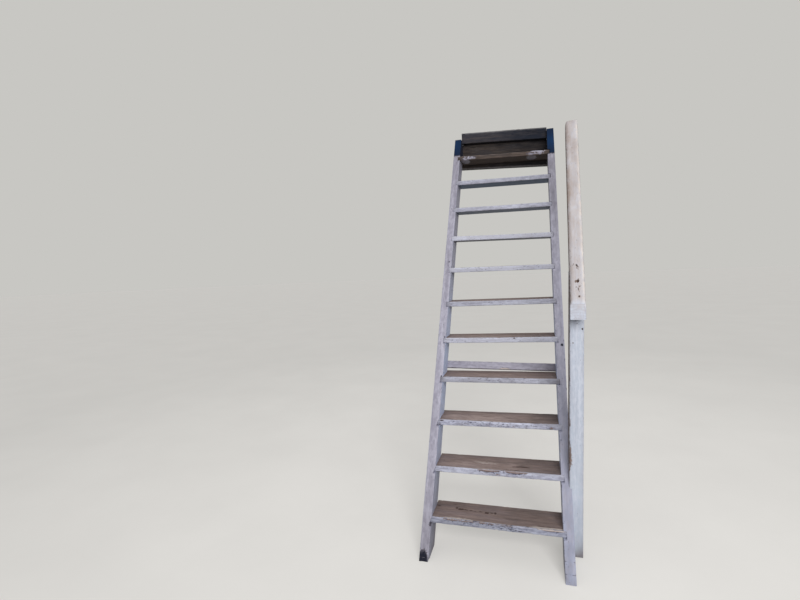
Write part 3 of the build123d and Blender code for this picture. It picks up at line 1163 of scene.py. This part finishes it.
def agedTimber(name, finish):
    # painted or bare old timber: paint over grey wood, with whatever the board's attributes say is lost
    material, tree, shader = newMaterial(name)
    colours = {key: colour(*value) for key, value in finish.items() if isinstance(value, tuple)}

    def noted(key, output="Fac"):
        return addNode(tree, "Attribute", {}, attribute_name=key).outputs[output]

    def group(inner, sockets):
        return addNode(tree, "Group", dict(sockets, Place=place), node_tree=inner).outputs

    def coat(base, *layers):
        # lays the finish's colours over a base, each as strongly as its mask says
        for amount, key in layers:
            base = mixColours(tree, amount, base, colours[key])
        return base

    place = noted("boardPlace", "Vector")
    scarAndPaintedLight, paintedLightAndScuff = noted("scarAndPaintedLight"), noted("paintedLightAndScuff")
    grain = group(grainGroup, {})
    flecked = times(tree, scarAndPaintedLight, -1.0)
    wear = group(wearGroup, {"Wear": noted("wear"), "Flecked": flecked, "Ragged": finish["ragged"]})
    grimeAndShade = group(grimeAndShadeGroup, {"Amount": noted("grimeAndShade")})
    scars = group(scarGroup, {"ScarAndPaintedLight": scarAndPaintedLight})
    bare, rim, deep = wear["Bare"], wear["Rim"], scars["Deep"]
    streak, rings = grain["Streak"], grain["Rings"]

    mottle = noiseAt(tree, place, (30, 80, 80), 5, 0.62, (4, 0, 2))
    brush = noiseAt(tree, place, (7, 460, 460), 2, 0.5, (0, 6, 1))
    patches = noiseAt(tree, place, (5, 26, 26), 4, 0.6, (6, 2, 9))
    scuffs = noiseAt(tree, place, (16, 120, 120), 4, 0.6, (2, 7, 5))
    streaks = spread(tree, streak, 0.36, 0.64, 0.0, 0.6)
    uneven = plus(tree, streaks, spread(tree, mottle, 0.42, 0.58, 0.0, 0.6))
    # pale: painted light, and the scuffed tread tops; next, nail holes and the strings' heads darkened as
    # painted shade
    pale = spread(tree, paintedLightAndScuff, 0.0, 1.0)
    holeAndHeadShade = spread(tree, scarAndPaintedLight, -0.72, -0.98)
    paint = coat(
        colours["paint"],
        (minus(tree, uneven, 0.1, clamp=True), "paintStreak"),
        (spread(tree, brush, 0.50, 0.72, 0.0, 0.28), "paintShade"),
        (times(tree, rings, finish["grainThrough"]), "paintShade"),
        (times(tree, rim, 0.45), "paintShade"),
        (times(tree, pale, spread(tree, mottle, 0.36, 0.60, 0.5, 1.3), clamp=True), "chalkAndPaintedLight"),
        (times(tree, wear["Nicks"], 0.85), "nick"),
    )
    wood = coat(
        colours["woodDark"],
        (spread(tree, streak, 0.34, 0.66), "wood"),
        (spread(tree, patches, 0.44, 0.62, 0.0, 0.65), "woodGrey"),
        (times(tree, rings, finish["ringDepth"]), "woodDark"),
        (spread(tree, grain["Fibre"], 0.46, 0.70, 0.0, 0.55), "woodPale"),
        (times(tree, pale, spread(tree, scuffs, 0.36, 0.60, 0.2, 1.2), clamp=True), "woodScuffed"),
        (times(tree, scars["Fresh"], 0.85), "woodFresh"),
        (times(tree, grain["Checks"], 0.80), "woodDeep"),
        (times(tree, deep, 0.92), "woodDeep"),
    )
    base = coat(
        mixColours(tree, bare, paint, wood),
        (times(tree, grimeAndShade["DirtAndShade"], finish["dirtiness"]), "dirtAndShade"),
        (times(tree, grimeAndShade["Specks"], 0.35), "dirtAndShade"),
        (times(tree, holeAndHeadShade, deep), "woodDeep"),
        # painted blue shade
        (spread(tree, paintedLightAndScuff, 0.0, -1.0), "paintedBlueShade"),
    )
    rough = spread(tree, bare, 0.0, 1.0, finish["paintRoughness"], 0.86)
    rough = plus(tree, rough, spread(tree, streak, 0.2, 0.8, -0.06, 0.06))
    relief = weighed(
        tree,
        (grain["Height"], spread(tree, bare, 0.0, 1.0, finish["paintRelief"], 1.0)),
        (bare, -0.55),
        (rim, 0.12),
        (brush, finish["paintRelief"] * 0.5),
        (mottle, finish["paintRelief"] * 0.8),
        (times(tree, deep, bare), -0.5),
    )
    normal = bumped(tree, relief, 1.0, 0.0014)
    feed(tree, shader, {"Base Color": base, "Roughness": rough, "Normal": normal, "Specular IOR Level": 0.35})
    return material


baseFinish = {
    "ragged": 1.0,
    "paint": (197, 195, 210),
    "paintStreak": (160, 157, 173),
    "paintShade": (128, 124, 136),
    # pale chalky paint, which lays painted light and highlights
    "chalkAndPaintedLight": (228, 228, 236),
    "nick": (62, 60, 72),
    # dark blue that lays painted blue shade
    "paintedBlueShade": (36, 64, 98),
    "grainThrough": 0.22,
    "ringDepth": 0.36,
    "wood": (156, 134, 126),
    "woodDark": (106, 90, 86),
    "woodPale": (186, 168, 160),
    "woodGrey": (130, 118, 122),
    "woodScuffed": (206, 184, 178),
    "woodFresh": (222, 210, 204),
    "woodDeep": (44, 36, 34),
    # the dirt colour, which also lays painted shade
    "dirtAndShade": (84, 76, 74),
    "dirtiness": 0.75,
    "paintRoughness": 0.58,
    "paintRelief": 0.30,
}
# The strings, treads, newel and rail share one old white paint; the paint colours differ partly as painted
# light, the newel's lighter and the strings' darker.
finishes = {
    "stringPaint": {
        # the bluish wood, deep and dark blue colours lay the heads' painted blue shade; the pale blue lays
        # painted light
        "wood": (84, 83, 92),
        "woodDark": (60, 60, 70),
        "woodPale": (104, 102, 110),
        "woodGrey": (70, 76, 92),
        "woodDeep": (20, 26, 42),
        "paintedBlueShade": (16, 52, 92),
        "dirtAndShade": (86, 78, 79),
        "chalkAndPaintedLight": (208, 221, 252),
    },
    "treadPaint": {
        "paint": (216, 219, 236),
        "paintStreak": (162, 163, 182),
        "nick": (62, 62, 84),
        # the blue of the undersides' painted shade
        "paintedBlueShade": (52, 84, 118),
        "woodDeep": (64, 44, 40),
    },
    "bareTread": {
        "ragged": 1.5,
        "wood": (104, 90, 83),
        "woodDark": (60, 53, 50),
        "woodPale": (136, 122, 112),
        "woodGrey": (72, 68, 70),
    },
    "newelPaint": {
        "paint": (221, 225, 237),
        "paintStreak": (190, 195, 209),
        "paintShade": (156, 156, 167),
        # the pale cyan of the front's painted bluish light
        "chalkAndPaintedLight": (208, 221, 236),
        "wood": (122, 96, 78),
        "woodDark": (84, 66, 56),
        "dirtAndShade": (98, 80, 76),
        "grainThrough": 0.16,
    },
    "railPaint": {
        "paint": (215, 222, 236),
        "paintStreak": (202, 204, 215),
        "paintShade": (156, 149, 153),
        "wood": (84, 76, 74),
        "woodDark": (54, 50, 52),
        "woodPale": (112, 100, 97),
        "woodGrey": (72, 70, 74),
        "dirtAndShade": (146, 122, 103),
        # the cream of the right crest's painted highlight
        "chalkAndPaintedLight": (250, 240, 230),
        "grainThrough": 0.20,
    },
    "darkTimber": {
        "wood": (100, 86, 77),
        "woodDark": (38, 35, 35),
        "woodPale": (124, 114, 106),
        "woodGrey": (64, 64, 71),
        # the pale fresh wood lays the painted highlights on the arrises
        "woodFresh": (138, 135, 135),
        "woodDeep": (14, 14, 16),
        # near-black dirt colour, which also lays the painted shade towards the right
        "dirtAndShade": (24, 25, 30),
        "ringDepth": 0.75,
        "dirtiness": 0.78,
    },
}


def ironMaterial():
    material, tree, shader = newMaterial("rustedIron")
    bloom = noiseAt(tree, objectPlace(tree), (260, 260, 260), 4, 0.6)
    rust = spread(tree, bloom, 0.42, 0.60)
    feed(tree, shader, {
        "Base Color": mixColours(tree, rust, colour(58, 54, 54), colour(96, 64, 48)),
        "Roughness": spread(tree, rust, 0.0, 1.0, 0.55, 0.9),
        "Metallic": spread(tree, rust, 0.0, 1.0, 0.7, 0.05),
        "Normal": bumped(tree, bloom, 0.6, 0.0004),
    })
    return material


def dress(material, *pieces):
    for piece in pieces:
        piece.data.materials.clear()
        piece.data.materials.append(material)


timbers = {name: agedTimber(name, dict(baseFinish, **finish)) for name, finish in finishes.items()}
dress(timbers["stringPaint"], leftString, rightString, backRailPiece)
dress(timbers["treadPaint"], *treadPieces[:-1])
dress(timbers["bareTread"], treadPieces[-1])
dress(timbers["newelPaint"], newelPost)
dress(timbers["railPaint"], handrail)
dress(timbers["darkTimber"], hangerBoard, landingNosing)
dress(ironMaterial(), nailHeads)
print("loft stair: finishes")

# Floor, backdrop and studio light
studio = {
    "floorRadius": 90,
    "floorDrop": 0.0005,
    "floorPale": colour(214, 212, 208),
    "floorBounce": colour(104, 102, 100),
    "floorFar": colour(118, 117, 115),  # a darker floor far off takes less from the lamp
    "farFrom": (2.4, 5.6),  # where the floor starts to darken, and where it is as dark as it gets
    "floorGlow": (0.38, 0.685),  # seen by the camera alone, by the stair and far from it
    "backdrop": colour(200, 199, 195),
    "fill": 0.47,
    "keyPlace": (2.2, -8.2, 2.0),
    "keyAim": (0, -0.9, -1.1),
    "keySize": 4.5,
    "keyPower": 490,
}


def seenRay(tree):
    # 1 for what the camera sees, straight or in a reflection
    path = addNode(tree, "LightPath", {}).outputs
    seen = plus(tree, path["Is Camera Ray"], path["Is Glossy Ray"])
    return plus(tree, seen, path["Is Transmission Ray"], clamp=True)


bm = bmesh.new()
bmesh.ops.create_circle(bm, cap_ends=True, segments=96, radius=studio["floorRadius"])
floor = finishMesh("floor", bm, Matrix.Translation((0, 0, stair["floorZ"] - studio["floorDrop"])))
floorMaterial, tree, shader = newMaterial("paleFloor")
seen = seenRay(tree)
cloudy = noiseAt(tree, objectPlace(tree), (1.5, 1.5, 1.5), 4)
pale = mixColours(tree, spread(tree, cloudy, 0.3, 0.7, 0.0, 0.05), studio["floorPale"], studio["floorBounce"])
away = spread(tree, vectorCalc(tree, "LENGTH", objectPlace(tree))["Value"], *studio["farFrom"])
lit = mixColours(tree, away, pale, studio["floorFar"])
feed(tree, shader, {
    "Base Color": mixColours(tree, seen, studio["floorBounce"], lit),
    "Emission Color": mixColours(tree, seen, (0, 0, 0, 1), pale),
    "Emission Strength": spread(tree, away, 0.0, 1.0, *studio["floorGlow"]),
    "Roughness": 0.9,
})
dress(floorMaterial, floor)

world = bpy.data.worlds.new("studioWorld")
bpy.context.scene.world = world
world.use_nodes = True
tree = world.node_tree
fillColour = (studio["fill"], studio["fill"], studio["fill"], 1)
sky = mixColours(tree, seenRay(tree), fillColour, studio["backdrop"])
feed(tree, tree.nodes["Background"].inputs, {"Color": sky})

keyData = bpy.data.lights.new("keyLight", "AREA")
keyData.shape = "SQUARE"
keyData.size = studio["keySize"]
keyData.energy = studio["keyPower"]
key = bpy.data.objects.new("keyLight", keyData)
aim = Vector(studio["keyAim"]) - Vector(studio["keyPlace"])
key.matrix_world = Matrix.Translation(studio["keyPlace"]) @ aim.to_track_quat("-Z", "Y").to_matrix().to_4x4()
key.visible_camera = False
key.visible_glossy = False
bpy.context.scene.collection.objects.link(key)
bpy.context.scene.view_settings.view_transform = "Standard"
print("loft stair: floor and lights")

# Camera at the photograph's place, 800 x 600
view = {
    "place": (0.2155, -3.765186, -0.9095),
    "yaw": radians(-17.0553),
    "pitch": radians(-3.6892),
    "roll": radians(2.2555),
    "focalPixels": 439.04,
    "pixelsAcross": 800,
}
cameraData = bpy.data.cameras.new("photoCamera")
camera = bpy.data.objects.new("photoCamera", cameraData)
camera.matrix_world = (
    Matrix.Translation(view["place"])
    @ Matrix.Rotation(-view["yaw"], 4, "Z")
    @ Matrix.Rotation(pi / 2 + view["pitch"], 4, "X")
    @ Matrix.Rotation(-view["roll"], 4, "Z")
)
cameraData.sensor_width = 36
cameraData.lens = view["focalPixels"] * cameraData.sensor_width / view["pixelsAcross"]
cameraData.clip_end = 100
bpy.context.scene.collection.objects.link(camera)
bpy.context.scene.camera = camera
